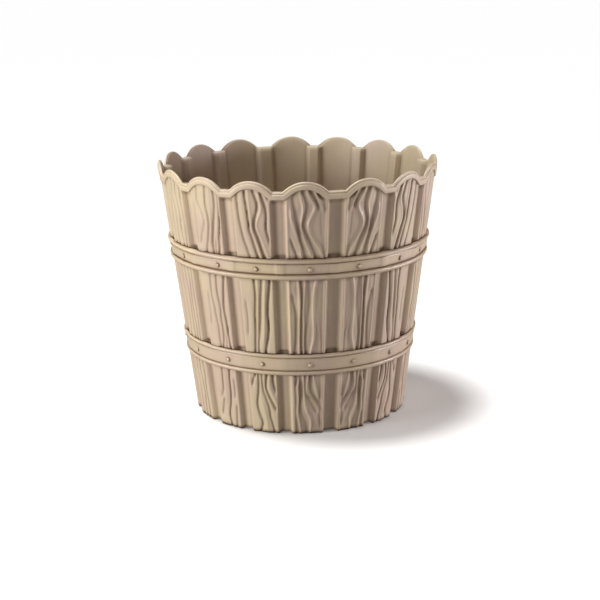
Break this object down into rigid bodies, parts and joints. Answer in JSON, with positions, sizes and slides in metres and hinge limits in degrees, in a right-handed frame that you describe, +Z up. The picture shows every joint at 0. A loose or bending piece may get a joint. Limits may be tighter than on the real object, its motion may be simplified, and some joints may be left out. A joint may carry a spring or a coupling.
{
  "type": "flower pot",
  "caption": "Tapered round flower pot in the form of a stave barrel, with a scalloped rim, recessed gaps between the staves, riveted hoops and a drained floor.",
  "frame": {"origin": "centre of the foot, on the surface that the pot stands on", "axes": "+Z up along the pot's axis; -Y is the side that faces the viewer"},
  "size_m": [0.2416, 0.2416, 0.2198],
  "materials": {
    "pot_plastic": "satin moulded plastic, warm beige",
    "hoop_plastic": "satin moulded plastic, warm beige"
  },
  "bodies": {
    "root": {"pot_body": "pot_plastic", "upper_hoop": "hoop_plastic", "lower_hoop": "hoop_plastic", "upper_hoop_studs": "hoop_plastic", "lower_hoop_studs": "hoop_plastic"}
  },
  "joints": []
}
